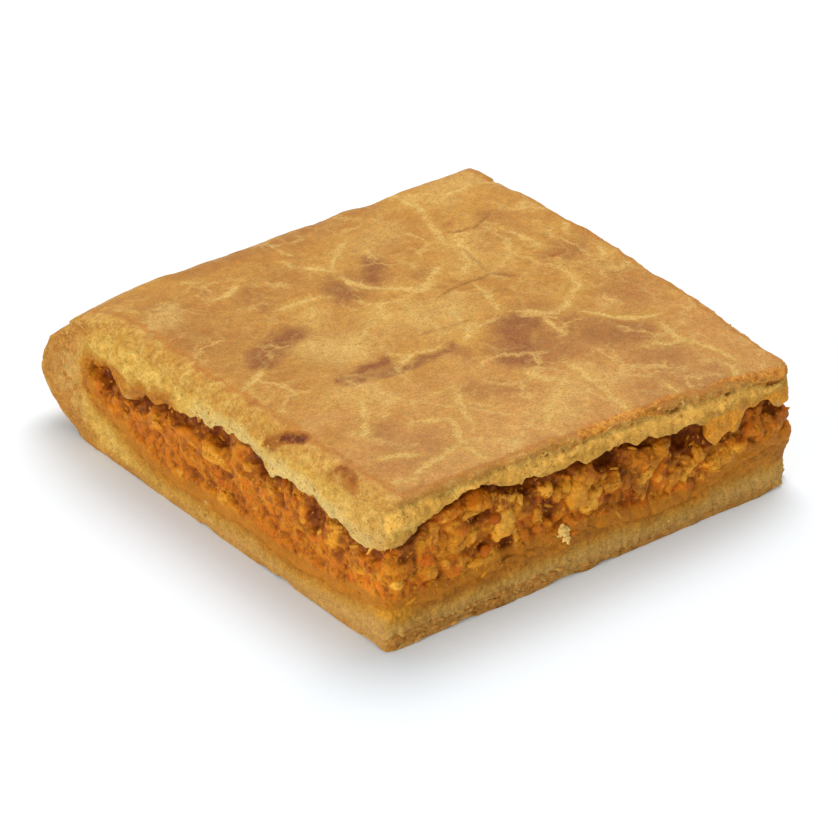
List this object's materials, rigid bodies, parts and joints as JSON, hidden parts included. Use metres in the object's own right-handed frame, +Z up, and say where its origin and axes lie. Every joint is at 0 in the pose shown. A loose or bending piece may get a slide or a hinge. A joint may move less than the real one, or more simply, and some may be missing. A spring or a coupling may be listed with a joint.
{
  "type": "empanada slice",
  "caption": "Square portion of a tray-baked savoury pie: golden crust sealed in a rolled rim along one side, moist filling showing at three cut sides.",
  "frame": {"origin": "on the table, under the middle of the portion's bounding box", "axes": "+Z up from the table, +Y from the front cut towards the rolled rim, +X along the rim to the right seen from the front cut"},
  "size_m": [0.1038, 0.1168, 0.0324],
  "materials": {
    "crust": "baked, satin",
    "filling": "moist"
  },
  "bodies": {
    "root": {"crust": "crust", "filling": "filling"}
  },
  "joints": []
}
